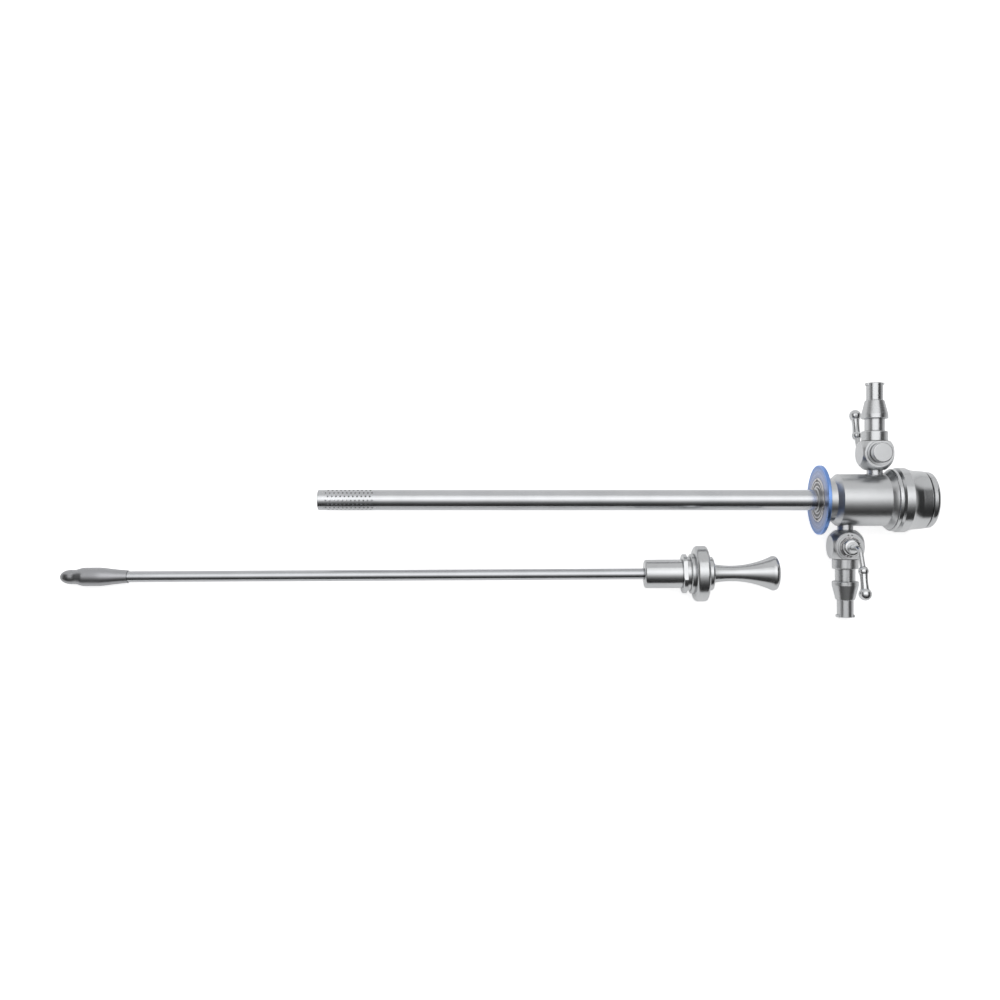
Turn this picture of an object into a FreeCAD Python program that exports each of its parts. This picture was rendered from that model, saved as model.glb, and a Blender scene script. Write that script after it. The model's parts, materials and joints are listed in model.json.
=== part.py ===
import FreeCAD
import Part
import math
import os

# Rigid endoscope sheath with two stopcocks, and its obturator lying beside it.
# Millimetres and degrees. The sheath's tube runs along X: the rear face, where the endoscope
# goes in, is at x = 0 and the tube's open end is at -X. In the sheath's own frame the
# stopcock outlets point along +Y and -Y and the valve plugs lie along Z. The sheath rests on
# a flat table rolled a little about X, on the lower outlet's end and on the tip of the upper
# stopcock's lever, which lies underneath.

# Tube
WORKING_LENGTH = 207.95
TUBE_R = 4.33
TUBE_BORE_R = 3.95
TUBE_SEAT_DEPTH = 9.0
TIP_LENGTH = 26.0
LIP_ROUND = 0.18
HOLE_ROWS = 16
HOLE_R = 0.4
HOLE_SIDES = 6
HOLES_PER_ROW = 12
HOLE_PITCH = 1.74
FIRST_HOLE = 3.6
HOLE_PHASE = 2.9
FERRULE_WALL = 0.6
FERRULE_PROUD = 0.75

# Colour ring at the front of the housing, and the nut that holds it
RING_R = 14.45
RING_THICKNESS = 1.45
RING_ROUND = 0.15
NUT_R = 9.2
NUT_THICKNESS = 1.25
NUT_PROUD = 0.25
NUT_WEB = 0.55
NUT_SEAT_GAP = 0.1
SPANNER_HOLE_R = 0.6
SPANNER_HOLE_DEPTH = 0.8
NOSE_R = 6.9

# Housing
BOSS_R = 9.0
BOSS_LENGTH = 4.35
CONE_LENGTH = 2.05
HOUSING_R = 10.8
HOUSING_LENGTH = 19.6
FLARE_LENGTH = 2.1
FLARE_BELLY = 0.55
FLANGE_R = 12.45
CHAMBER_R = 5.2
GUIDE_BORE_R = 6.0
GUIDE_LENGTH = 15.6

# Rear socket and its bayonet lock
SOCKET_R = 8.3
SLEEVE_R = 9.6
FLANGE_SPACE = 1.75
GASKET_THICKNESS = 0.95
PLATE_THICKNESS = 1.5
PLATE_R = 10.35
PLATE_FLAT = 7.3
LIP_DEPTH = 1.6
REGISTER_R = 8.6
END_CAP_R = 11.7
END_CAP_LENGTH = 2.9
END_CAP_ROUND = 2.1
SEAM_GAP = 0.5
BARREL_R = 12.0
BARREL_LENGTH = 4.0
HOLLOW_LENGTH = 3.9
HOLLOW_BELLY_AT = 0.62
HOLLOW_BELLY = 0.36
RIDGE_R = 13.45
RIDGE_LENGTH = 3.2
RIDGE_RISE = 1.1
LOCK_GROOVE_DEPTH = 0.45
BEAD_R = 12.95
BEAD_LENGTH = 1.6
BEAD_ROUND = 0.6
TURN_GAP = 0.05
LOCK_TURN = 45.0
STOP_PIN_R = 0.75
STOP_PIN_SINK = 2.2
STOP_PIN_RISE = 1.0
STOP_PIN_CLEAR = 0.2
CIRCLIP_THICKNESS = 0.9
CIRCLIP_SINK = 0.7
CIRCLIP_RISE = 0.7

# Stopcocks
NECK_LENGTH = 1.7
STUB_R = 3.17
STUB_SINK = 3.6
STUB_SEAT = 2.3
STUB_CLEAR = 0.5
FLOW_R = 1.5
VALVE_R = 8.0
VALVE_FLAT_X = 6.5
VALVE_FLAT_Z = 5.4
VALVE_BASE = 6.9
VALVE_TOP = 5.0
FRONT_STEP_R = 5.6
FRONT_STEP = 0.4
FRONT_BOSS_R = 4.9
FRONT_BOSS = 0.4
BACK_BOSS_R = 4.9
BACK_BOSS = 0.6
DOT_R = 0.32
DOT_DEPTH = 0.35
DOT_SPREAD = 0.75
DOT_OUT = 4.9
PLUG_R = 3.0
PLUG_TAPER = 0.055
PLUG_CLEARANCE = 0.03
PLUG_NECK_R = 2.2
PLUG_STUD_R = 1.6
WASHER_R = 4.2
WASHER_THICKNESS = 0.6
SPRING_R = 3.4
SPRING_THICKNESS = 0.6
CAP_NUT_R = 4.1
CAP_NUT_LENGTH = 3.1
CAP_NUT_ROUND = 0.45
CAP_NUT_WALL = 0.9
VALVE_GAP = 0.04

# Lever of a stopcock
LEVER_HUB_R = 3.6
LEVER_HUB_HEIGHT = 2.5
LEVER_HUB_ROUND = 1.6
LEVER_SOCKET = 1.2
ARM_R = 1.1
ARM_SLOPE = 25.0
ARM_BEND = 3.5
KNUCKLE_R = 2.05
KNUCKLE_OUT = 8.8
KNUCKLE_HEIGHT = 21.0
WAIST_R = 1.5
HANDLE_ROOT_R = 1.8
HANDLE_END_R = 2.0
LEVER_TIP_R = 2.55
LEVER_TIP_OUT = 17.7
LEVER_TIP_HEIGHT = 23.0

# Outlet of a stopcock: collar, hose cone and locking cone socket
COLLAR_R = 5.3
COLLAR_LENGTH = 4.25
COLLAR_ROUND = 0.5
OUTLET_R = 4.05
OUTLET_LENGTH = 5.15
BARB_R = 5.4
BARB_LAND = 1.7
BARB_LENGTH = 7.7
BARB_END_R = 3.9
LUER_R = 3.35
LUER_LENGTH = 6.2
LUG_R = 3.915
LUG_LENGTH = 1.1
LUG_WIDTH = 3.4
LUER_MOUTH_R = 2.14
LUER_DEPTH = 7.5
LUER_TAPER = 0.06
OUTLET_SPIGOT_R = 2.6
OUTLET_SPIGOT = 1.3
EDGE = 0.25

# Length that a cutter runs on past the face it cuts through
PAST = 1.0

# Obturator
TIP_BEYOND = 10.1
NOSE_LENGTH = 4.6
NOSE_R_TIP = 3.01
NOSE_WAIST = 1.4
OLIVE_FRONT = 4.6
OLIVE_BODY = 5.4
OLIVE_TAIL = 12.9
OLIVE_TAIL_R = 2.65
OLIVE_TAIL_SLIM = 0.5
OLIVE_CLEARANCE = 0.06
ROD_R = 2.3
ROD_SEAT = 5.0
HUB_CLEARANCE = 0.09
HUB_LENGTH = 15.5
HUB_ROUND = 0.9
HUB_SEAT_WALL = 2.0
FLANGE_CLEARANCE = 0.2
FLANGE_THICKNESS = 1.65
GROOVE_CLEARANCE = 0.3
REGISTER_CLEARANCE = 0.4
DISC_R = 11.5
DISC_THICKNESS = 5.5
DISC_FRONT_ROUND = 1.6
DISC_BACK_ROUND = 1.2
KNOB_NUT_R = 7.0
KNOB_NUT_LENGTH = 2.5
KNOB_NUT_ROUND = 0.9
KNOB_WAIST_AT = 7.4
KNOB_WAIST_R = 3.24
KNOB_CURVE_R = 37.5
KNOB_LENGTH = 27.6
KNOB_CROWN = 1.6
KNOB_RIM = 2.4
KNOB_RIM_BELLY = 0.25
KNOB_RIM_IN = 0.3
STUD_R = 2.0
OBTURATOR_BEHIND = 99.3
OBTURATOR_ASIDE = 30.35

# Stations along the sheath, from the rear face forwards
X_LIP = -LIP_DEPTH
X_PLATE = X_LIP - PLATE_THICKNESS
X_SLEEVE = X_PLATE - 2.0 * TURN_GAP
X_SEAT = X_SLEEVE - FLANGE_SPACE
X_SOCKET = X_SEAT - GASKET_THICKNESS
X_GUIDE = X_SOCKET - GUIDE_LENGTH
X_CAP = -END_CAP_LENGTH
X_BARREL = X_CAP - SEAM_GAP
X_HOLLOW = X_BARREL - BARREL_LENGTH
X_RIDGE = X_HOLLOW - HOLLOW_LENGTH
X_RISE = X_RIDGE - RIDGE_LENGTH
X_BEAD = X_RISE - RIDGE_RISE
X_LOCK = X_BEAD - BEAD_LENGTH
X_FLANGE = X_LOCK - 2.0 * TURN_GAP
X_FLARE = X_FLANGE - FLARE_LENGTH
X_CONE = X_FLARE - HOUSING_LENGTH
X_BOSS = X_CONE - CONE_LENGTH
X_WEB = X_BOSS - BOSS_LENGTH
X_RING = X_WEB - RING_THICKNESS
X_NUT = X_RING - NUT_PROUD
X_DISTAL = X_RING - WORKING_LENGTH
X_TIP = X_DISTAL + TIP_LENGTH
X_TUBE = X_RING + TUBE_SEAT_DEPTH

# Stopcock places and the heights of its parts over the plug's middle
VALVE_AWAY = HOUSING_R + NECK_LENGTH + VALVE_BASE
X_UPPER = X_FLARE - STUB_R - STUB_CLEAR
X_LOWER = X_CONE + STUB_R + STUB_CLEAR
Z_FRONT = VALVE_FLAT_Z + FRONT_STEP + FRONT_BOSS
Z_BACK = -VALVE_FLAT_Z - BACK_BOSS
Z_HUB = Z_FRONT + WASHER_THICKNESS + VALVE_GAP
OUTLET_END = VALVE_TOP + COLLAR_LENGTH + OUTLET_LENGTH + BARB_LENGTH + LUER_LENGTH + LUG_LENGTH

# Roll at which the sheath lies on one outlet's end and on the other stopcock's lever tip
REACH = 2.0 * VALVE_AWAY + OUTLET_END + LEVER_TIP_OUT
DROP = LEVER_TIP_HEIGHT - LUER_R
ROLL_RAD = math.atan2(DROP, REACH) + math.asin(LEVER_TIP_R / math.hypot(REACH, DROP))
ROLL = math.degrees(ROLL_RAD)
FLOOR = -(VALVE_AWAY + OUTLET_END) * math.sin(ROLL_RAD) - LUER_R * math.cos(ROLL_RAD)

# Shortest edge, and the share of an edge that the rounding of one end may take
NO_LENGTH = 1e-7
MOST_OF_EDGE = 0.49
ORIGIN = FreeCAD.Vector(0, 0, 0)
X_AXIS = FreeCAD.Vector(1, 0, 0)
Y_AXIS = FreeCAD.Vector(0, 1, 0)
Z_AXIS = FreeCAD.Vector(0, 0, 1)


# Shape helpers

def rounding(before, corner, after, radius):
    """Start, middle and end of the arc that rounds a corner between two straight edges."""
    back = before - corner
    ahead = after - corner
    half = back.getAngle(ahead) / 2.0
    length = min(radius / math.tan(half), MOST_OF_EDGE * back.Length, MOST_OF_EDGE * ahead.Length)
    fitted = length * math.tan(half)
    back.normalize()
    ahead.normalize()
    inward = back + ahead
    inward.normalize()
    middle = corner + inward * (fitted / math.sin(half) - fitted)
    return corner + back * length, middle, corner + ahead * length


def outline(*items):
    """Closed wire in the XY plane, where x is a station and y a radius.

    An item is a corner (x, r), a softened corner (x, r, size), or ("via", x, r), a point that
    the edge between its neighbours bends through as an arc. A softened corner is rounded, or
    bevelled where its size is no more than EDGE.
    """
    corners = []
    vias = {}
    for item in items:
        if item[0] == "via":
            vias[len(corners) - 1] = FreeCAD.Vector(item[1], item[2], 0)
        else:
            corners.append(item)
    points = [FreeCAD.Vector(corner[0], corner[1], 0) for corner in corners]
    arrive = list(points)
    leave = list(points)
    edges = []
    for index, corner in enumerate(corners):
        if len(corner) > 2:
            after = points[(index + 1) % len(points)]
            start, middle, end = rounding(points[index - 1], points[index], after, corner[2])
            arrive[index] = start
            leave[index] = end
            if corner[2] > EDGE:
                edges.append(Part.Arc(start, middle, end).toShape())
            else:
                edges.append(Part.LineSegment(start, end).toShape())
    for index in range(len(corners)):
        start = leave[index]
        end = arrive[(index + 1) % len(corners)]
        if index in vias:
            edges.append(Part.Arc(start, vias[index], end).toShape())
        elif start.distanceToPoint(end) > NO_LENGTH:
            edges.append(Part.LineSegment(start, end).toShape())
    return Part.Wire(Part.__sortEdges__(edges))


def turned(*items):
    """Solid made by turning an outline round X."""
    return Part.Face(outline(*items)).revolve(ORIGIN, X_AXIS, 360)


def rod(start, end, radius):
    """Round bar along X."""
    return Part.makeCylinder(radius, end - start, FreeCAD.Vector(start, 0, 0), X_AXIS)


def sleeve(start, end, inner, outer):
    """Plain tube along X."""
    return turned((start, inner), (start, outer), (end, outer), (end, inner))


def block(x0, x1, y0, y1, z0, z1):
    """Box between two corners."""
    return Part.makeBox(x1 - x0, y1 - y0, z1 - z0, FreeCAD.Vector(x0, y0, z0))


def joined(*shapes):
    """Several touching shapes as one solid."""
    return shapes[0].fuse(list(shapes[1:])).removeSplitter()


def along_y(shape):
    """Turn a shape made along X so that it lies along Y."""
    return shape.rotated(ORIGIN, Z_AXIS, 90)


def along_z(shape):
    """Turn a shape made along X so that it lies along Z."""
    return shape.rotated(ORIGIN, Y_AXIS, -90)


def radial_rod(station, angle, inner, outer, radius):
    """Round bar that stands out from the X axis, at an angle from +Y towards +Z."""
    bar = Part.makeCylinder(radius, outer - inner, FreeCAD.Vector(station, inner, 0), Y_AXIS)
    return bar.rotated(ORIGIN, X_AXIS, angle)


def drill(station, angle):
    """Six-sided cutter for a small drain hole, which keeps its many copies light."""
    corners = []
    for side in range(HOLE_SIDES + 1):
        turn = 2.0 * math.pi * side / HOLE_SIDES
        corners.append(FreeCAD.Vector(station + HOLE_R * math.sin(turn), TUBE_BORE_R - HOLE_R,
                                      HOLE_R * math.cos(turn)))
    prism = Part.Face(Part.makePolygon(corners)).extrude(
        FreeCAD.Vector(0, TUBE_R - TUBE_BORE_R + 2.0 * HOLE_R, 0))
    return prism.rotated(ORIGIN, X_AXIS, angle)


def two_flats(shape, flat, start, end, reach):
    """Cut a turned shape to two flats, at the same distance above and below the axis."""
    return shape.common(block(start, end, -reach, reach, -flat, flat))


# Tube and its open end

def outer_tube():
    return sleeve(X_TIP, X_TUBE, TUBE_BORE_R, TUBE_R)


def perforated_tip():
    """Open end of the tube, with staggered rows of drain holes all round."""
    shell = turned((X_DISTAL, TUBE_BORE_R, LIP_ROUND), (X_DISTAL, TUBE_R, LIP_ROUND),
                   (X_TIP, TUBE_R), (X_TIP, TUBE_BORE_R))
    drills = []
    for row in range(HOLE_ROWS):
        odd = row % 2
        angle = HOLE_PHASE + 360.0 * row / HOLE_ROWS
        for place in range(HOLES_PER_ROW - odd):
            station = X_DISTAL + FIRST_HOLE + HOLE_PITCH * (place + 0.5 * odd)
            drills.append(drill(station, angle))
    return shell.cut(Part.makeCompound(drills))


def tube_ferrule():
    """Soldered sleeve that ends just in front of the nut."""
    outer = TUBE_R + FERRULE_WALL
    return turned((X_NUT - FERRULE_PROUD, TUBE_R), (X_NUT - FERRULE_PROUD, outer, EDGE),
                  (X_RING + RING_THICKNESS, outer), (X_RING + RING_THICKNESS, TUBE_R))


# Colour ring and nut

def size_ring():
    """Coloured disc with a seat for the nut."""
    seat = X_NUT + NUT_THICKNESS
    nut_space = NUT_R + NUT_SEAT_GAP
    return turned((X_WEB, NOSE_R), (X_WEB, RING_R, RING_ROUND), (X_RING, RING_R, RING_ROUND),
                  (X_RING, nut_space), (seat, nut_space), (seat, NOSE_R))


def ring_nut():
    """Face nut with two blind holes for a pin spanner."""
    ferrule = TUBE_R + FERRULE_WALL
    back = X_NUT + NUT_THICKNESS
    nut = turned((X_NUT, ferrule), (X_NUT, NUT_R, EDGE), (back, NUT_R), (back, NOSE_R),
                 (X_NUT + NUT_WEB, NOSE_R), (X_NUT + NUT_WEB, ferrule))
    middle = (NUT_R + NOSE_R) / 2.0
    for side in (-1, 1):
        hole = rod(X_NUT, X_NUT + SPANNER_HOLE_DEPTH, SPANNER_HOLE_R)
        nut = nut.cut(hole.translated(FreeCAD.Vector(0, side * middle, 0)))
    return nut


# Housing

def housing_body():
    """Turned body with the water chamber, the guide bore and the rear sleeve."""
    flare_mid = (X_FLARE + X_FLANGE) / 2.0
    flare_mid_r = HOUSING_R + FLARE_BELLY * (FLANGE_R - HOUSING_R)
    ferrule = TUBE_R + FERRULE_WALL
    circlip_x = X_SOCKET - CIRCLIP_THICKNESS
    body = turned(
        (X_NUT + NUT_WEB, ferrule), (X_NUT + NUT_WEB, NOSE_R), (X_WEB, NOSE_R), (X_WEB, BOSS_R),
        (X_BOSS, BOSS_R), (X_CONE, HOUSING_R), (X_FLARE, HOUSING_R),
        ("via", flare_mid, flare_mid_r), (X_FLANGE, FLANGE_R), (X_FLANGE, SLEEVE_R),
        (circlip_x, SLEEVE_R), (circlip_x, SLEEVE_R - CIRCLIP_SINK),
        (X_SOCKET, SLEEVE_R - CIRCLIP_SINK), (X_SOCKET, SLEEVE_R), (X_SLEEVE, SLEEVE_R),
        (X_SLEEVE, SOCKET_R), (X_SOCKET, SOCKET_R), (X_SOCKET, GUIDE_BORE_R),
        (X_GUIDE, GUIDE_BORE_R), (X_GUIDE, CHAMBER_R), (X_TUBE, CHAMBER_R), (X_TUBE, TUBE_R),
        (X_WEB, TUBE_R), (X_WEB, ferrule))
    for station, angle in ((X_UPPER, 0), (X_LOWER, 180)):
        body = body.cut(radial_rod(station, angle, HOUSING_R - STUB_SINK, HOUSING_R + PAST, STUB_R))
        body = body.cut(radial_rod(station, angle, 0.0, HOUSING_R, FLOW_R))
    return body.cut(stop_pin())


def seat_gasket():
    """Flat sealing ring that the instrument's flange presses on."""
    return sleeve(X_SOCKET, X_SEAT, GUIDE_BORE_R + EDGE, SOCKET_R)


# Bayonet lock

def stop_pin_station():
    return (X_RIDGE + X_RISE) / 2.0


def stop_pin():
    """Radial pin that limits the turn of the lock ring."""
    return radial_rod(stop_pin_station(), 90, SLEEVE_R - STOP_PIN_SINK,
                      SLEEVE_R + STOP_PIN_RISE, STOP_PIN_R)


def lock_circlip():
    """Wire ring that keeps the lock ring on the sleeve, open at one side."""
    start = X_SOCKET - CIRCLIP_THICKNESS
    ring = sleeve(start, X_SOCKET, SLEEVE_R - CIRCLIP_SINK, SLEEVE_R + CIRCLIP_RISE)
    half_gap = CIRCLIP_THICKNESS
    return ring.cut(block(start, X_SOCKET, 0, SLEEVE_R + CIRCLIP_RISE + PAST, -half_gap, half_gap))


def lock_ring():
    """Turning grip ring, with grooves inside for the circlip and for the stop pin."""
    bore = SLEEVE_R + TURN_GAP
    groove_r = BEAD_R - LOCK_GROOVE_DEPTH
    clip_r = SLEEVE_R + CIRCLIP_RISE + TURN_GAP
    clip_front = X_SOCKET - CIRCLIP_THICKNESS - TURN_GAP
    clip_back = X_SOCKET + TURN_GAP
    hollow_x = X_RIDGE + HOLLOW_BELLY_AT * HOLLOW_LENGTH
    hollow_r = BARREL_R + HOLLOW_BELLY * (RIDGE_R - BARREL_R)
    ring = turned(
        (X_LOCK, bore), (X_LOCK, BEAD_R, BEAD_ROUND), (X_BEAD, BEAD_R, EDGE), (X_BEAD, groove_r),
        (X_RISE, RIDGE_R, EDGE), (X_RIDGE, RIDGE_R), ("via", hollow_x, hollow_r),
        (X_HOLLOW, BARREL_R + EDGE), (X_BARREL, BARREL_R, EDGE), (X_BARREL, PLATE_R),
        (X_PLATE, PLATE_R), (X_PLATE, bore), (clip_back, bore),
        (clip_back, clip_r), (clip_front, clip_r), (clip_front, bore))
    slot_half = STOP_PIN_R + TURN_GAP
    spare = math.degrees(math.asin(slot_half / SLEEVE_R))
    station = stop_pin_station()
    slot_foot = SLEEVE_R - PAST
    slot_top = SLEEVE_R + STOP_PIN_RISE + STOP_PIN_CLEAR
    section = Part.Face(outline((station - slot_half, slot_foot),
                                (station + slot_half, slot_foot),
                                (station + slot_half, slot_top), (station - slot_half, slot_top)))
    start = 90.0 - LOCK_TURN - spare
    slot = section.rotated(ORIGIN, X_AXIS, start).revolve(ORIGIN, X_AXIS, LOCK_TURN + 2.0 * spare)
    return ring.cut(slot)


def bayonet_plate():
    """Disc whose oblong hole lets the flange in, and traps it once turned."""
    disc = rod(X_PLATE, X_LIP, PLATE_R)
    hole = rod(X_PLATE, X_LIP, SOCKET_R)
    return disc.cut(two_flats(hole, PLATE_FLAT, X_PLATE, X_LIP, PLATE_R))


def lock_end_cap():
    """Rounded end ring that holds the plate and centres the instrument's shoulder."""
    return turned((0, REGISTER_R), (0, END_CAP_R, END_CAP_ROUND), (X_CAP, END_CAP_R, EDGE),
                  (X_CAP, PLATE_R), (X_LIP, PLATE_R), (X_LIP, REGISTER_R))


# Stopcock, in its own frame: the plug turns about Z, the outlet points along +Y

def plug_radius(height):
    """Radius of the tapered plug at a height over its middle."""
    return PLUG_R + PLUG_TAPER * height


def inlet_stub():
    """Neck between housing and valve, soldered into both."""
    far = VALVE_AWAY - HOUSING_R + STUB_SINK
    near = VALVE_BASE - STUB_SEAT
    return along_y(sleeve(-far, -near, FLOW_R, STUB_R))


def plug_space():
    """Tapered hole that the plug turns in."""
    low = Z_BACK - PAST
    high = Z_FRONT + PAST
    return along_z(turned((low, 0), (low, plug_radius(low) + PLUG_CLEARANCE),
                          (high, plug_radius(high) + PLUG_CLEARANCE), (high, 0)))


def valve_body():
    """Ball with five flats, a stepped boss in front, and the bores of the valve."""
    ball = Part.makeSphere(VALVE_R)
    ball = ball.common(block(-VALVE_FLAT_X, VALVE_FLAT_X, -VALVE_BASE, VALVE_TOP,
                             -VALVE_FLAT_Z, VALVE_FLAT_Z))
    step = VALVE_FLAT_Z + FRONT_STEP
    front = along_z(turned((0, 0), (0, FRONT_STEP_R), (step, FRONT_STEP_R),
                           (step, FRONT_BOSS_R), (Z_FRONT, FRONT_BOSS_R), (Z_FRONT, 0)))
    back = along_z(rod(Z_BACK, 0, BACK_BOSS_R))
    below_top = block(-VALVE_R, VALVE_R, -VALVE_BASE, VALVE_TOP, Z_BACK, Z_FRONT)
    body = joined(ball, front.common(below_top), back.common(below_top))
    body = body.cut(plug_space())
    body = body.cut(along_y(rod(-VALVE_R, VALVE_R, FLOW_R)))
    body = body.cut(along_y(rod(-VALVE_R, STUB_SEAT - VALVE_BASE, STUB_R)))
    body = body.cut(along_y(rod(VALVE_TOP - OUTLET_SPIGOT, VALVE_R, OUTLET_SPIGOT_R)))
    for side in (-DOT_SPREAD, DOT_SPREAD):
        dot = along_z(rod(step - DOT_DEPTH, step + PAST, DOT_R))
        body = body.cut(dot.translated(FreeCAD.Vector(side, -DOT_OUT, 0)))
    return body


def outlet_nipple():
    """Collar, hose cone and a locking cone socket with two lugs."""
    collar_end = VALVE_TOP + COLLAR_LENGTH
    barb = collar_end + OUTLET_LENGTH
    luer = barb + BARB_LENGTH
    lug = luer + LUER_LENGTH
    bottom = OUTLET_END - LUER_DEPTH
    bottom_r = LUER_MOUTH_R - LUER_TAPER * LUER_DEPTH / 2.0
    spigot = VALVE_TOP - OUTLET_SPIGOT
    body = turned(
        (spigot, FLOW_R), (spigot, OUTLET_SPIGOT_R), (VALVE_TOP, OUTLET_SPIGOT_R),
        (VALVE_TOP, COLLAR_R, EDGE), (collar_end, COLLAR_R, COLLAR_ROUND),
        (collar_end, OUTLET_R), (barb, OUTLET_R), (barb, BARB_R, EDGE),
        (barb + BARB_LAND, BARB_R, 2.0 * EDGE), (luer, BARB_END_R, EDGE), (luer, LUER_R),
        (OUTLET_END, LUER_R, EDGE), (OUTLET_END, LUER_MOUTH_R), (bottom, bottom_r),
        (bottom, FLOW_R))
    rim = turned((lug, LUER_MOUTH_R + EDGE), (lug, LUG_R, EDGE), (OUTLET_END, LUG_R, EDGE),
                 (OUTLET_END, LUER_MOUTH_R + EDGE))
    lugs = two_flats(rim, LUG_WIDTH / 2.0, lug, OUTLET_END, LUG_R)
    return along_y(joined(body, lugs))


def wear_washer():
    """Thrust washer between the valve's boss and the lever's hub."""
    inner = PLUG_NECK_R + PLUG_CLEARANCE
    return along_z(sleeve(Z_FRONT, Z_FRONT + WASHER_THICKNESS, inner, WASHER_R))


def valve_plug():
    """Tapered plug with its cross hole in line with the outlet, a drive neck and a stud."""
    neck_top = Z_HUB + LEVER_SOCKET
    stud_end = Z_BACK - SPRING_THICKNESS - CAP_NUT_LENGTH + CAP_NUT_WALL
    plug = along_z(turned(
        (stud_end, 0), (stud_end, PLUG_STUD_R, EDGE), (Z_BACK, PLUG_STUD_R),
        (Z_BACK, plug_radius(Z_BACK)), (Z_FRONT, plug_radius(Z_FRONT)),
        (Z_FRONT, PLUG_NECK_R), (neck_top, PLUG_NECK_R), (neck_top, 0)))
    return plug.cut(along_y(rod(-VALVE_R, VALVE_R, FLOW_R)))


def spring_washer():
    """Washer that pulls the plug into its taper, on the turning cap nut."""
    return along_z(sleeve(Z_BACK - SPRING_THICKNESS, Z_BACK - VALVE_GAP, PLUG_STUD_R, SPRING_R))


def cap_nut():
    """Round blind nut at the plug's small end."""
    face = Z_BACK - SPRING_THICKNESS
    end = face - CAP_NUT_LENGTH
    nut = turned((end, 0), (end, CAP_NUT_R, CAP_NUT_ROUND), (face, CAP_NUT_R, EDGE),
                 (face, PLUG_STUD_R), (end + CAP_NUT_WALL, PLUG_STUD_R), (end + CAP_NUT_WALL, 0))
    return along_z(nut)


def lever_arm():
    """Bent round bar from the hub up and out to the knuckle, in the YZ plane."""
    slope = math.radians(ARM_SLOPE)
    meet = KNUCKLE_HEIGHT - KNUCKLE_OUT * math.tan(slope)
    turn = math.pi / 2.0 - slope
    tangent = ARM_BEND * math.tan(turn / 2.0)
    foot = FreeCAD.Vector(0, 0, Z_HUB + LEVER_SOCKET)
    start = FreeCAD.Vector(0, 0, meet - tangent)
    centre = start + FreeCAD.Vector(0, ARM_BEND, 0)
    half = FreeCAD.Vector(0, -math.cos(turn / 2.0), math.sin(turn / 2.0)) * ARM_BEND
    end = FreeCAD.Vector(0, tangent * math.cos(slope), meet + tangent * math.sin(slope))
    knuckle = FreeCAD.Vector(0, KNUCKLE_OUT, KNUCKLE_HEIGHT)
    path = Part.Wire([Part.LineSegment(foot, start).toShape(),
                      Part.Arc(start, centre + half, end).toShape(),
                      Part.LineSegment(end, knuckle).toShape()])
    ring = Part.Wire([Part.makeCircle(ARM_R, foot, Z_AXIS)])
    return path.makePipeShell([ring], True, False)


def lever_handle():
    """Knuckle ball, slim waist and tip ball on one line."""
    length = math.hypot(LEVER_TIP_OUT - KNUCKLE_OUT, LEVER_TIP_HEIGHT - KNUCKLE_HEIGHT)
    tilt = math.degrees(math.atan2(LEVER_TIP_HEIGHT - KNUCKLE_HEIGHT,
                                   LEVER_TIP_OUT - KNUCKLE_OUT))
    knuckle = Part.makeSphere(KNUCKLE_R)
    tip = Part.makeSphere(LEVER_TIP_R, FreeCAD.Vector(length, 0, 0))
    waist = turned((0, 0), (0, HANDLE_ROOT_R), ("via", 0.5 * length, WAIST_R),
                   (length, HANDLE_END_R), (length, 0))
    handle = along_y(joined(knuckle, waist, tip)).rotated(ORIGIN, X_AXIS, tilt)
    return handle.translated(FreeCAD.Vector(0, KNUCKLE_OUT, KNUCKLE_HEIGHT))


def valve_lever():
    """Domed hub, bent arm and two-ball handle in one piece."""
    top = Z_HUB + LEVER_HUB_HEIGHT
    socket = Z_HUB + LEVER_SOCKET
    hub = along_z(turned((Z_HUB, PLUG_NECK_R), (Z_HUB, LEVER_HUB_R, EDGE),
                         (top, LEVER_HUB_R, LEVER_HUB_ROUND), (top, 0), (socket, 0),
                         (socket, PLUG_NECK_R)))
    return joined(hub, lever_arm(), lever_handle())


STOPCOCK = {
    "inlet_stub": inlet_stub, "valve_body": valve_body, "outlet_nipple": outlet_nipple,
    "wear_washer": wear_washer, "valve_plug": valve_plug, "spring_washer": spring_washer,
    "cap_nut": cap_nut, "valve_lever": valve_lever,
}


def placed_stopcock(side, shape):
    """Put a stopcock piece on the sheath. The upper one is the lower one turned round X."""
    shape = shape.rotated(ORIGIN, Z_AXIS, 180)
    if side == "lower":
        return shape.translated(FreeCAD.Vector(X_LOWER, -VALVE_AWAY, 0))
    shape = shape.rotated(ORIGIN, X_AXIS, 180)
    return shape.translated(FreeCAD.Vector(X_UPPER, VALVE_AWAY, 0))


# Obturator, in its own frame: along X with its tip at -X, and its seat, which meets the
# sheath's rear face, at x = 0

HUB_R = GUIDE_BORE_R - HUB_CLEARANCE
GROOVE_R = PLATE_FLAT - GROOVE_CLEARANCE
SHOULDER_R = REGISTER_R - REGISTER_CLEARANCE
OLIVE_R = TUBE_BORE_R - OLIVE_CLEARANCE
FLANGE_BACK = X_PLATE - TURN_GAP
FLANGE_FRONT = FLANGE_BACK - FLANGE_THICKNESS
HUB_FRONT = FLANGE_FRONT - HUB_LENGTH
X_NOSE = X_DISTAL - TIP_BEYOND
X_NOSE_END = X_NOSE + NOSE_LENGTH
X_OLIVE = X_NOSE_END + NOSE_WAIST + OLIVE_FRONT
X_OLIVE_END = X_OLIVE + OLIVE_BODY
X_TAIL = X_OLIVE_END + OLIVE_TAIL
X_DISC = DISC_THICKNESS
X_KNOB = X_DISC + KNOB_NUT_LENGTH
X_KNOB_END = X_KNOB + KNOB_LENGTH


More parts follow.
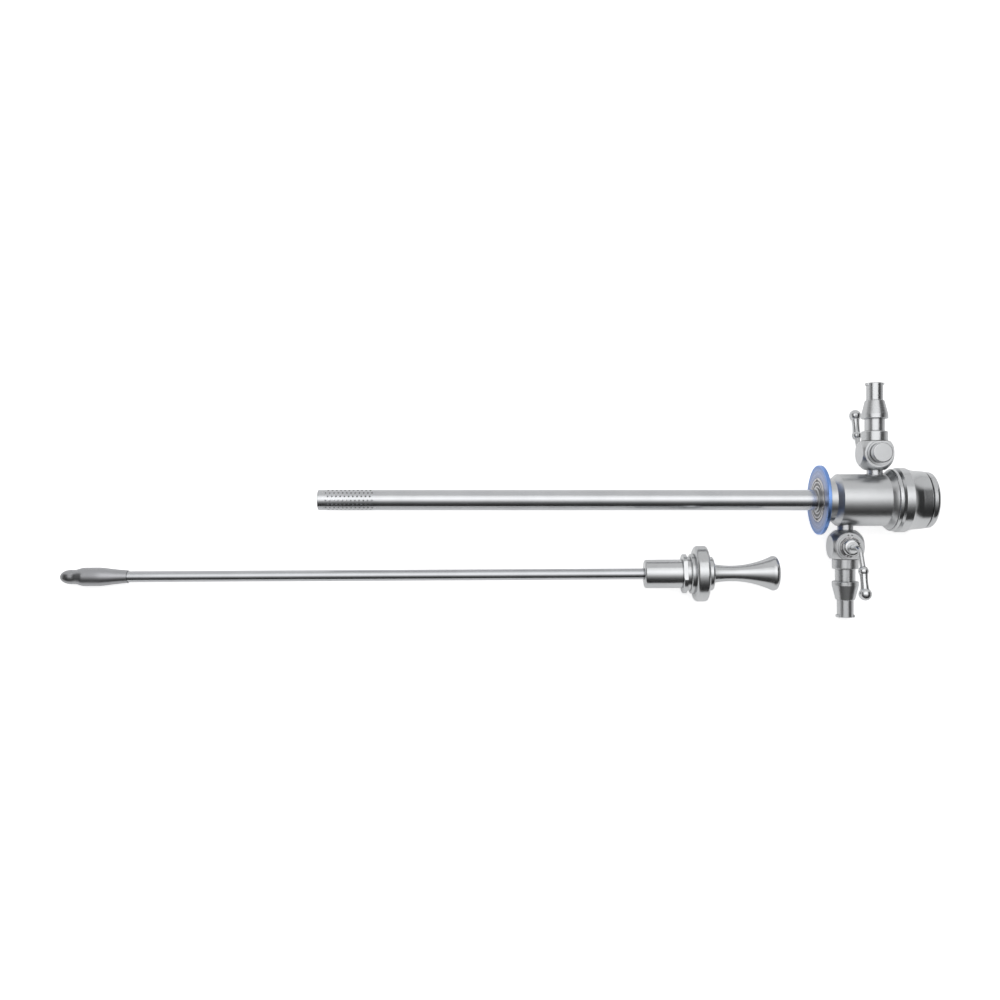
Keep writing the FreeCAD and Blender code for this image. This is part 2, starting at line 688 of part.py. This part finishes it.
def obturator_tip():
    """Rounded nose and olive that fills the sheath's mouth, with a socket for the rod."""
    nose = Part.Ellipse(FreeCAD.Vector(X_NOSE_END, 0, 0), NOSE_LENGTH, NOSE_R_TIP)
    crown = nose.toShape(math.pi / 2.0, math.pi)
    neck = FreeCAD.Vector(X_NOSE_END, NOSE_R_TIP, 0)
    waist = FreeCAD.Vector(X_NOSE_END + NOSE_WAIST, NOSE_R_TIP, 0)
    full = FreeCAD.Vector(X_OLIVE, OLIVE_R, 0)
    full_end = FreeCAD.Vector(X_OLIVE_END, OLIVE_R, 0)
    front = Part.BSplineCurve()
    front.interpolate([waist, full], InitialTangent=X_AXIS, FinalTangent=X_AXIS)
    slim_r = OLIVE_R + OLIVE_TAIL_SLIM * (OLIVE_TAIL_R - OLIVE_R)
    slim = FreeCAD.Vector(X_OLIVE_END + OLIVE_TAIL / 2.0, slim_r, 0)
    tail = FreeCAD.Vector(X_TAIL, OLIVE_TAIL_R, 0)
    flank = Part.BSplineCurve()
    flank.interpolate([full_end, slim, tail], InitialTangent=X_AXIS, FinalTangent=tail - slim)
    socket = X_TAIL - ROD_SEAT
    corners = [tail, FreeCAD.Vector(X_TAIL, ROD_R, 0), FreeCAD.Vector(socket, ROD_R, 0),
               FreeCAD.Vector(socket, 0, 0), FreeCAD.Vector(X_NOSE, 0, 0)]
    edges = [crown, front.toShape(), flank.toShape()]
    for start, end in [(neck, waist), (full, full_end)] + list(zip(corners, corners[1:])):
        edges.append(Part.LineSegment(start, end).toShape())
    return Part.Face(Part.Wire(Part.__sortEdges__(edges))).revolve(ORIGIN, X_AXIS, 360)


def obturator_rod():
    return rod(X_TAIL - ROD_SEAT, FLANGE_FRONT, ROD_R)


def obturator_hub():
    """Plug that fills the guide bore, with a seat for the flange and a shoulder."""
    seat = ROD_R + HUB_SEAT_WALL
    return turned((HUB_FRONT, ROD_R), (HUB_FRONT, HUB_R, HUB_ROUND), (FLANGE_FRONT, HUB_R),
                  (FLANGE_FRONT, seat), (FLANGE_BACK, seat), (FLANGE_BACK, GROOVE_R),
                  (X_LIP + TURN_GAP, GROOVE_R), (X_LIP + TURN_GAP, SHOULDER_R, EDGE),
                  (0, SHOULDER_R), (0, STUD_R), (FLANGE_FRONT, STUD_R), (FLANGE_FRONT, ROD_R))


def obturator_flange():
    """Thin bayonet flange with two flats."""
    outer = SOCKET_R - FLANGE_CLEARANCE
    seat = ROD_R + HUB_SEAT_WALL
    ring = turned((FLANGE_FRONT, seat), (FLANGE_FRONT, outer, 2.0 * EDGE),
                  (FLANGE_BACK, outer), (FLANGE_BACK, seat))
    return two_flats(ring, PLATE_FLAT - FLANGE_CLEARANCE, FLANGE_FRONT, FLANGE_BACK, SOCKET_R)


def grip_disc():
    """Thick rounded disc that the thumb and fingers hold."""
    return turned((0, STUD_R), (0, DISC_R, DISC_FRONT_ROUND), (X_DISC, DISC_R, DISC_BACK_ROUND),
                  (X_DISC, STUD_R))


def knob_nut():
    """Low round nut that clamps the disc to the hub."""
    return turned((X_DISC, STUD_R), (X_DISC, KNOB_NUT_R), (X_KNOB, KNOB_NUT_R, KNOB_NUT_ROUND),
                  (X_KNOB, STUD_R))


def obturator_knob():
    """Trumpet-shaped knob on a stud that runs through nut, disc and hub."""
    waist_x = X_KNOB + KNOB_WAIST_AT
    edge = X_KNOB_END - KNOB_CROWN
    far = edge - KNOB_RIM
    neck_r = KNOB_WAIST_R + KNOB_CURVE_R - math.sqrt(KNOB_CURVE_R ** 2 - KNOB_WAIST_AT ** 2)
    flare = far - waist_x
    mouth_r = KNOB_WAIST_R + KNOB_CURVE_R - math.sqrt(KNOB_CURVE_R ** 2 - flare ** 2)
    crown_r = mouth_r - KNOB_RIM_IN
    ball_r = (crown_r ** 2 + KNOB_CROWN ** 2) / (2.0 * KNOB_CROWN)
    half = math.asin(crown_r / ball_r) / 2.0
    crown_x = X_KNOB_END - ball_r + ball_r * math.cos(half)
    return turned((FLANGE_FRONT, 0), (FLANGE_FRONT, STUD_R), (X_KNOB, STUD_R), (X_KNOB, neck_r),
                  ("via", waist_x, KNOB_WAIST_R), (far, mouth_r),
                  ("via", far + KNOB_RIM / 2.0, mouth_r + KNOB_RIM_BELLY), (edge, crown_r),
                  ("via", crown_x, ball_r * math.sin(half)), (X_KNOB_END, 0))


def laid_obturator(shape):
    """Lay the obturator on the table beside the sheath, on its disc and its olive."""
    rim = DISC_FRONT_ROUND
    olive = X_OLIVE
    pitch = math.atan2(DISC_R - OLIVE_R, rim - olive)
    height = FLOOR + DISC_R * math.cos(pitch) - rim * math.sin(pitch)
    shape = shape.rotated(ORIGIN, Y_AXIS, -math.degrees(pitch))
    return shape.translated(FreeCAD.Vector(-OBTURATOR_BEHIND, -OBTURATOR_ASIDE, height))


SHEATH = {
    "outer_tube": outer_tube, "perforated_tip": perforated_tip, "tube_ferrule": tube_ferrule,
    "size_ring": size_ring, "ring_nut": ring_nut, "housing_body": housing_body,
    "seat_gasket": seat_gasket, "stop_pin": stop_pin, "lock_circlip": lock_circlip,
    "lock_ring": lock_ring, "bayonet_plate": bayonet_plate, "lock_end_cap": lock_end_cap,
}

OBTURATOR = {
    "obturator_tip": obturator_tip, "obturator_rod": obturator_rod,
    "obturator_hub": obturator_hub, "obturator_flange": obturator_flange,
    "grip_disc": grip_disc, "knob_nut": knob_nut, "obturator_knob": obturator_knob,
}


def all_pieces():
    """Every piece by name, in the place where it rests."""
    pieces = {}
    for name, make in SHEATH.items():
        pieces[name] = make().rotated(ORIGIN, X_AXIS, ROLL)
    for side in ("upper", "lower"):
        for name, make in STOPCOCK.items():
            placed = placed_stopcock(side, make())
            pieces[side + "_" + name] = placed.rotated(ORIGIN, X_AXIS, ROLL)
    for name, make in OBTURATOR.items():
        pieces[name] = laid_obturator(make())
    return pieces


def main():
    os.makedirs("parts", exist_ok=True)
    for name, shape in all_pieces().items():
        shape.exportStep("parts/" + name + ".step")
        print(name, round(shape.Volume, 3), shape.isValid(), len(shape.Solids))
    print("roll", round(ROLL, 3), "floor", round(FLOOR, 3))


main()
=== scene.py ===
import json
import math
import bpy
from mathutils import Matrix, Vector


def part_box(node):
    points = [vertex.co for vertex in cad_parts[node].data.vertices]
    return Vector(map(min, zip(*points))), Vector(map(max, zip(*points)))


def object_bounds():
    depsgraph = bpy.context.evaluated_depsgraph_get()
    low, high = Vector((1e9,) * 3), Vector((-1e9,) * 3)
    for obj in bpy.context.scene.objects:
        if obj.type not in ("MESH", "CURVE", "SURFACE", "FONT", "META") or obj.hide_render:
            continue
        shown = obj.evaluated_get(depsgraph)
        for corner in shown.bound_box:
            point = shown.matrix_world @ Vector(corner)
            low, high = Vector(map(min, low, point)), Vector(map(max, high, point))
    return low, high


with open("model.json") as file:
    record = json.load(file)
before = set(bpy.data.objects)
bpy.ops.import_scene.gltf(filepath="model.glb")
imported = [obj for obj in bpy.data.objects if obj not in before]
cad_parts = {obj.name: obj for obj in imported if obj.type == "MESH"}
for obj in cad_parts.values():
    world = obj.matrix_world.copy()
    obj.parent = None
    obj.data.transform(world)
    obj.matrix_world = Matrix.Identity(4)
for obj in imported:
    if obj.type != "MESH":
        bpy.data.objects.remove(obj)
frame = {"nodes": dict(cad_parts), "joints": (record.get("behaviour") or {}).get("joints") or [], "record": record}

CAD_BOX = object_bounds()
NODES = frame["nodes"]

# Millimetre, in Blender's metres
MM = 0.001

# The sheath lies rolled about its tube, so that the valve plugs lean back by this angle. It is
# read from the upper lever's joint, whose axis is the plug's.
UPPER_HINGE = next(joint for joint in frame["joints"] if joint["name"] == "upper_lever_turn")
LEAN = math.atan2(UPPER_HINGE["axis"][1], -UPPER_HINGE["axis"][2])
ALONG = Vector((1.0, 0.0, 0.0))
PLUG_UP = Vector((0.0, -math.sin(LEAN), math.cos(LEAN)))
SIDE_UP = Vector((0.0, math.cos(LEAN), math.sin(LEAN)))

# Photograph: the picture's middle lies on the tube's axis, this far in front of the rear face
PICTURE_MIDDLE = 179.17 * MM
PICTURE_WIDTH = 416.67 * MM
CAMERA_AWAY = 418.0 * MM
SENSOR = 36.0
NEAREST_SEEN = 10.0 * MM


def plain_view():
    """Show colours as they are."""
    bpy.context.scene.view_settings.view_transform = "Standard"


def make_camera():
    """Camera over the picture's middle that looks down along the valve plugs."""
    data = bpy.data.cameras.new("camera")
    data.sensor_width = SENSOR
    data.lens = SENSOR * CAMERA_AWAY / PICTURE_WIDTH
    data.clip_start = NEAREST_SEEN
    camera = bpy.data.objects.new("camera", data)
    bpy.context.scene.collection.objects.link(camera)
    turn = Matrix((ALONG, SIDE_UP, PLUG_UP)).transposed()
    place = -ALONG * PICTURE_MIDDLE + PLUG_UP * CAMERA_AWAY
    camera.matrix_world = Matrix.Translation(place) @ turn.to_4x4()
    bpy.context.scene.camera = camera


# Sockets of the Mix node when it mixes colours
MIX_SHARE = 0
MIX_FIRST = 6
MIX_SECOND = 7
MIX_RESULT = 2


class Nodes:
    """A node tree that is built up call by call."""

    def __init__(self, tree):
        self.tree = tree
        self.tree.nodes.clear()

    def put(self, socket, value):
        """Link a socket to another, or set it to a plain value."""
        if isinstance(value, bpy.types.NodeSocket):
            self.tree.links.new(value, socket)
        else:
            socket.default_value = value

    def add(self, kind, inputs=None, **settings):
        """A shader node with its settings and inputs."""
        node = self.tree.nodes.new("ShaderNode" + kind)
        for name, value in settings.items():
            setattr(node, name, value)
        for name, value in (inputs or {}).items():
            self.put(node.inputs[name], value)
        return node

    def math(self, operation, first, second=0.0, clamp=False):
        """Result of one math operation."""
        node = self.add("Math", {0: first, 1: second}, operation=operation, use_clamp=clamp)
        return node.outputs[0]

    def remap(self, value, low, high, to_low, to_high, smooth=False):
        """A value that goes from one range to another, and stays within it."""
        kind = "SMOOTHSTEP" if smooth else "LINEAR"
        node = self.add("MapRange", {"Value": value, "From Min": low, "From Max": high,
                                     "To Min": to_low, "To Max": to_high},
                        interpolation_type=kind)
        return node.outputs["Result"]

    def stretch(self, noise, half, to_low, to_high):
        """A noise stretched from this half width about its middle to another range."""
        return self.remap(noise, 0.5 - half, 0.5 + half, to_low, to_high)

    def mix(self, share, first, second):
        """A share of the second colour in the first."""
        node = self.add("Mix", {MIX_SHARE: share, MIX_FIRST: first, MIX_SECOND: second},
                        data_type="RGBA")
        return node.outputs[MIX_RESULT]

    def noise(self, place, scale, detail):
        """Cloudy noise over the surface."""
        return self.add("TexNoise", {"Vector": place, "Scale": scale, "Detail": detail}).outputs[0]


def grey(level):
    """Grey with alpha."""
    return (level, level, level, 1.0)


def opaque(colour, share=1.0):
    """Colour with alpha, darkened to a share of itself."""
    return tuple(share * channel for channel in colour) + (1.0,)


# Studio

# Table: its size, how white it is, and how much it glows to the camera and in mirrored light
FLOOR_SIZE = 6.0
FLOOR_WHITE = 0.86
FLOOR_SEEN = 0.72
FLOOR_MIRRORED = 0.30

# Room: how bright it is, what the camera sees of it, and where it turns pale. The bounds are
# parts of a direction of length one, along Y on the far side and along X at both ends.
ROOM_DARK = 0.035
ROOM_FAR = 0.80
ROOM_ENDS = 0.52
ROOM_SEEN = 0.863
FAR_FROM = 0.30
FAR_TO = 0.60
ENDS_FROM = 0.88
ENDS_TO = 0.97

# Softbox: strips of light on an arc over the tube, brightest at one angle and fading to both
# sides. Angles are seen from the tube, from the line to the camera towards the far side.
BOX_AWAY = 0.60
BOX_LEFT = -0.66
BOX_RIGHT = 0.27
STRIP_COUNT = 10
BOX_FAR = math.radians(47.0)
BOX_NEAR = math.radians(-53.0)
PEAK_ANGLE = math.radians(17.0)
PEAK_RADIANCE = 1.72
PEAK_SPREAD = math.radians(31.0)


def floor_finish():
    """Matt white that looks white to the camera and greyer in mirrored light."""
    material = bpy.data.materials.new("table_white")
    material.use_nodes = True
    nodes = Nodes(material.node_tree)
    path = nodes.add("LightPath")
    seen = nodes.math("MULTIPLY", path.outputs["Is Camera Ray"], FLOOR_SEEN)
    mirrored = nodes.math("MULTIPLY", path.outputs["Is Glossy Ray"], FLOOR_MIRRORED)
    through = nodes.math("MULTIPLY", path.outputs["Is Transmission Ray"], FLOOR_SEEN)
    strength = nodes.math("ADD", nodes.math("ADD", seen, mirrored), through)
    matt = nodes.add("BsdfDiffuse", {"Color": grey(FLOOR_WHITE)})
    glow = nodes.add("Emission", {"Color": grey(1.0), "Strength": strength})
    both = nodes.add("AddShader", {0: matt.outputs[0], 1: glow.outputs[0]})
    nodes.add("OutputMaterial", {"Surface": both.outputs[0]})
    return material


def make_floor():
    """White table that sheath and obturator lie on."""
    low = CAD_BOX[0][2]
    half = FLOOR_SIZE / 2.0
    mesh = bpy.data.meshes.new("table")
    corners = [(-half, -half, low), (half, -half, low), (half, half, low), (-half, half, low)]
    mesh.from_pydata(corners, [], [(0, 1, 2, 3)])
    mesh.materials.append(floor_finish())
    table = bpy.data.objects.new("table", mesh)
    bpy.context.scene.collection.objects.link(table)


def make_room():
    """Dim room that turns pale on the far side and low down at both ends."""
    world = bpy.data.worlds.new("room")
    bpy.context.scene.world = world
    world.use_nodes = True
    nodes = Nodes(world.node_tree)
    direction = nodes.add("TexCoord").outputs["Generated"]
    parts = nodes.add("SeparateXYZ", {0: direction}).outputs
    far = nodes.remap(parts["Y"], FAR_FROM, FAR_TO, 0.0, 1.0, smooth=True)
    sideways = nodes.math("ABSOLUTE", parts["X"])
    ends = nodes.remap(sideways, ENDS_FROM, ENDS_TO, 0.0, 1.0, smooth=True)
    level = nodes.mix(ends, grey(ROOM_DARK), grey(ROOM_ENDS))
    level = nodes.mix(far, level, grey(ROOM_FAR))
    path = nodes.add("LightPath")
    seen = nodes.mix(path.outputs["Is Camera Ray"], level, grey(ROOM_SEEN))
    sky = nodes.add("Background", {"Color": seen, "Strength": 1.0})
    nodes.add("OutputWorld", {"Surface": sky.outputs[0]})


def make_strip(name, angle, width):
    """One strip of the softbox, along the tube."""
    out = PLUG_UP * math.cos(angle) + SIDE_UP * math.sin(angle)
    radiance = PEAK_RADIANCE * math.exp(-((angle - PEAK_ANGLE) / PEAK_SPREAD) ** 2)
    data = bpy.data.lights.new(name, "AREA")
    data.shape = "RECTANGLE"
    data.size = BOX_RIGHT - BOX_LEFT
    data.size_y = width
    data.energy = radiance * math.pi * data.size * data.size_y
    lamp = bpy.data.objects.new(name, data)
    bpy.context.scene.collection.objects.link(lamp)
    turn = Matrix((ALONG, out.cross(ALONG), out)).transposed()
    place = ALONG * (BOX_LEFT + BOX_RIGHT) / 2.0 + out * BOX_AWAY
    lamp.matrix_world = Matrix.Translation(place) @ turn.to_4x4()


def make_softbox():
    """Large light overhead whose brightness fades towards the near and the far side."""
    step = (BOX_FAR - BOX_NEAR) / STRIP_COUNT
    width = 2.0 * BOX_AWAY * math.tan(step / 2.0)
    for index in range(STRIP_COUNT):
        make_strip(f"softbox_{index}", BOX_NEAR + (index + 0.5) * step, width)


# Finishes

# Lines along X that turning marks are measured about: the tube's axis, and one through the
# middle of the obturator's rod. The obturator lies a little tilted, so that its own axis
# leaves this line towards both ends.
ROD_BOX = [Vector(corner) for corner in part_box("obturator_rod")]
ROD_AXIS = (0.0,) + tuple((ROD_BOX[0] + ROD_BOX[1]) / 2.0)[1:]
TUBE_AXIS = (0.0, 0.0, 0.0)

# How finely turning marks branch, and how many there are to the metre
MARK_DETAIL = 2.0
FINE_LINES = 2600.0
POLISHED_LINES = 2400.0
PLAIN_LINES = 1800.0
TUBE_LINES = 900.0
NUT_LINES = 850.0

# Half widths that a noise is stretched from, about its middle: the smaller, the harder its
# edges
SOFT = 0.2
FIRM = 0.15
HARD = 0.1

# Metal: smudges and grain, how far smudges dull or clear the polish against the marks, and how
# turning marks and grain share the relief
SMUDGE_SCALE = 90.0
SMUDGE_DETAIL = 4.0
SMUDGE_DULLS = 0.8
SMUDGE_CLEARS = 0.6
SMUDGE_SHADE = 0.92
GRAIN_SCALE = 2600.0
GRAIN_DETAIL = 2.0
GRAIN_SHARE = 0.3
MARK_DARK = 0.05
METAL_RELIEF = 0.01 * MM

# Painted shade in creases: within which distance it darkens the colour, from and to which open share, and how much
# of the colour is left in the deepest ones
PAINTED_SHADE_REACH = 1.0 * MM
PAINTED_SHADE_FROM = 0.25
PAINTED_SHADE_TO = 0.85
PAINTED_SHADE_LEFT = 0.22
PAINTED_SHADE_DARK = 0.015
PAINTED_SHADE_RAYS = 6

# Colour ring: its grey face turns blue towards the rim
FACE_RADIUS = 11.0 * MM
RIM_RADIUS = 14.5 * MM
FACE_COLOUR = (0.34, 0.39, 0.56, 1.0)
RIM_COLOUR = (0.20, 0.36, 0.76, 1.0)
RING_MARKS = 0.22
RING_MARK_DARK = 0.08
RING_SMOOTHEST = 0.24
RING_ROUGHEST = 0.36
RING_BUMP = 0.15
RING_RELIEF = 0.02 * MM

# Rubber
RUBBER_GRAIN = 1400.0
RUBBER_DETAIL = 3.0
RUBBER_SHADE = 0.8
RUBBER_UNEVEN = 0.06
RUBBER_BUMP = 0.2
RUBBER_RELIEF = 0.02 * MM

STEEL = (0.60, 0.61, 0.62)
TUBE_STEEL = (0.59, 0.60, 0.615)
POLISHED_STEEL = (0.62, 0.63, 0.64)
GRIP_STEEL = (0.58, 0.59, 0.60)
ROD_STEEL = (0.54, 0.55, 0.57)
TIP_STEEL = (0.42, 0.425, 0.44)
TURNED_STEEL = (0.64, 0.63, 0.64)
RUBBER = (0.05, 0.05, 0.055)


def new_finish(name):
    """An empty material, its nodes and the place on the surface."""
    material = bpy.data.materials.new(name)
    material.use_nodes = True
    nodes = Nodes(material.node_tree)
    return material, nodes, nodes.add("TexCoord").outputs["Object"]


def turned_marks(nodes, place, density, along_tube=1.0, axis=TUBE_AXIS):
    """Radius about a line along X, and fine marks that change with it and along the tube.

    With along_tube at 0 they change with the radius alone, which runs them round the
    outlets.
    """
    centred = nodes.add("VectorMath", {0: place, 1: axis}, operation="SUBTRACT").outputs[0]
    parts = nodes.add("SeparateXYZ", {0: centred}).outputs
    across = nodes.add("CombineXYZ", {"Y": parts["Y"], "Z": parts["Z"]}).outputs[0]
    radius = nodes.add("VectorMath", {0: across}, operation="LENGTH").outputs["Value"]
    station = nodes.math("MULTIPLY", parts["X"], along_tube)
    along = nodes.math("MULTIPLY", nodes.math("ADD", station, radius), density)
    lines = nodes.add("TexNoise", {"W": along, "Scale": 1.0, "Detail": MARK_DETAIL},
                      noise_dimensions="1D").outputs[0]
    return radius, lines


def painted_crease_shade(nodes, colour):
    """Colour with painted shade: it darkens in grooves and seams, wherever ambient occlusion finds them."""
    # Painted shade: ambient occlusion darkens the colour itself in grooves and seams
    open_share = nodes.add("AmbientOcclusion", {"Distance": PAINTED_SHADE_REACH},
                           samples=PAINTED_SHADE_RAYS).outputs["AO"]
    left_after_painted_shade = nodes.remap(open_share, PAINTED_SHADE_FROM, PAINTED_SHADE_TO, PAINTED_SHADE_LEFT, 1.0, smooth=True)
    return nodes.mix(left_after_painted_shade, grey(PAINTED_SHADE_DARK), colour)


def metal(name, colour, roughness, marks, density, bump, along_tube=1.0, contrast=0.0,
          axis=TUBE_AXIS):
    """Metal with fine marks, faint smudges, uneven polish and painted shade in creases."""
    material, nodes, place = new_finish(name)
    lines = turned_marks(nodes, place, density, along_tube, axis)[1]
    smudge = nodes.noise(place, SMUDGE_SCALE, SMUDGE_DETAIL)
    grain = nodes.noise(place, GRAIN_SCALE, GRAIN_DETAIL)
    dulled = nodes.stretch(smudge, FIRM, -SMUDGE_CLEARS * marks, SMUDGE_DULLS * marks)
    spread = nodes.math("ADD", nodes.stretch(lines, SOFT, -marks, marks), dulled)
    rough = nodes.math("ADD", spread, roughness, clamp=True)
    shade = nodes.stretch(smudge, SOFT, 0.0, 1.0)
    tint = nodes.mix(shade, opaque(colour, SMUDGE_SHADE), opaque(colour))
    if contrast:
        tint = nodes.mix(nodes.stretch(lines, HARD, 0.0, contrast), tint, grey(MARK_DARK))
    # Painted shade darkens the colour in creases
    tint = painted_crease_shade(nodes, tint)
    height = nodes.math("ADD", nodes.math("MULTIPLY", lines, 1.0 - GRAIN_SHARE),
                        nodes.math("MULTIPLY", grain, GRAIN_SHARE))
    relief = nodes.add("Bump", {"Height": height, "Strength": bump, "Distance": METAL_RELIEF})
    shader = nodes.add("BsdfPrincipled", {
        "Base Color": tint, "Metallic": 1.0, "Roughness": rough, "Normal": relief.outputs[0]})
    nodes.add("OutputMaterial", {"Surface": shader.outputs[0]})
    return material


def ring_finish():
    """Anodised ring, blue at the rim and greyer on its turned face."""
    material, nodes, place = new_finish("blue_anodised")
    radius, lines = turned_marks(nodes, place, NUT_LINES)
    share = nodes.remap(radius, FACE_RADIUS, RIM_RADIUS, 0.0, 1.0, smooth=True)
    base = nodes.mix(share, FACE_COLOUR, RIM_COLOUR)
    tint = nodes.mix(nodes.stretch(lines, FIRM, 0.0, RING_MARKS), base, grey(RING_MARK_DARK))
    rough = nodes.stretch(lines, SOFT, RING_SMOOTHEST, RING_ROUGHEST)
    relief = nodes.add("Bump", {"Height": lines, "Strength": RING_BUMP, "Distance": RING_RELIEF})
    shader = nodes.add("BsdfPrincipled", {
        "Base Color": tint, "Metallic": 1.0, "Roughness": rough, "Normal": relief.outputs[0]})
    nodes.add("OutputMaterial", {"Surface": shader.outputs[0]})
    return material


def rubber_finish(roughness):
    """Rubber with a fine grain."""
    material, nodes, place = new_finish("seal_rubber")
    grain = nodes.noise(place, RUBBER_GRAIN, RUBBER_DETAIL)
    tint = nodes.mix(grain, opaque(RUBBER, RUBBER_SHADE), opaque(RUBBER))
    rough = nodes.stretch(grain, SOFT, roughness - RUBBER_UNEVEN, roughness + RUBBER_UNEVEN)
    relief = nodes.add("Bump", {"Height": grain, "Strength": RUBBER_BUMP,
                                "Distance": RUBBER_RELIEF})
    shader = nodes.add("BsdfPrincipled", {
        "Base Color": tint, "Roughness": rough, "Normal": relief.outputs[0]})
    nodes.add("OutputMaterial", {"Surface": shader.outputs[0]})
    return material


SATIN = metal("satin_turned_steel", STEEL, roughness=0.295, marks=0.010, density=FINE_LINES,
              bump=0.005)
LOCK = metal("lock_ring_steel", STEEL, roughness=0.205, marks=0.010, density=FINE_LINES,
             bump=0.005)
TUBE = metal("ground_tube_steel", TUBE_STEEL, roughness=0.205, marks=0.012, density=TUBE_LINES,
             bump=0.004)
BRIGHT = metal("polished_steel", POLISHED_STEEL, roughness=0.22, marks=0.02,
               density=POLISHED_LINES, bump=0.015)
CAP = metal("soft_satin_steel", STEEL, roughness=0.31, marks=0.02, density=PLAIN_LINES,
            bump=0.006)
GRIP = metal("turned_grip_steel", GRIP_STEEL, roughness=0.235, marks=0.010, density=FINE_LINES,
             bump=0.002, along_tube=0.0, axis=ROD_AXIS)
ROD = metal("drawn_rod_steel", ROD_STEEL, roughness=0.215, marks=0.02, density=PLAIN_LINES,
            bump=0.004, along_tube=0.0, axis=ROD_AXIS)
TIP = metal("blasted_tip_steel", TIP_STEEL, roughness=0.36, marks=0.05, density=PLAIN_LINES,
            bump=0.020, axis=ROD_AXIS)
OUTLET = metal("outlet_satin_steel", STEEL, roughness=0.30, marks=0.03, density=FINE_LINES,
               bump=0.020, along_tube=0.0)
TURNED = metal("lathe_turned_steel", TURNED_STEEL, roughness=0.26, marks=0.06, density=NUT_LINES,
               bump=0.10, contrast=0.88)

# Finish of each material slot
FINISHES = {
    "tube_steel": TUBE,
    "satin_steel": SATIN,
    "polished_steel": BRIGHT,
    "blue_ring": ring_finish(),
    "seal_rubber": rubber_finish(roughness=0.55),
}

# Pieces whose polish differs from the rest of their slot
SPECIAL = {
    "ring_nut": TURNED, "upper_wear_washer": TURNED, "lower_wear_washer": TURNED,
    "obturator_hub": GRIP, "grip_disc": GRIP, "knob_nut": GRIP, "obturator_knob": GRIP,
    "obturator_flange": GRIP, "upper_cap_nut": CAP, "lower_cap_nut": CAP,
    "obturator_tip": TIP, "obturator_rod": ROD, "lock_ring": LOCK, "lock_end_cap": LOCK,
    "upper_outlet_nipple": OUTLET, "lower_outlet_nipple": OUTLET,
}


def finish_nodes():
    """Give every piece of the frame its finish."""
    slots = {part["node"]: part["material_slot"] for part in frame["record"]["subparts"]}
    for name, piece in NODES.items():
        piece.data.materials.clear()
        piece.data.materials.append(SPECIAL.get(name, FINISHES[slots[name]]))


plain_view()
make_camera()
make_floor()
make_room()
make_softbox()
finish_nodes()
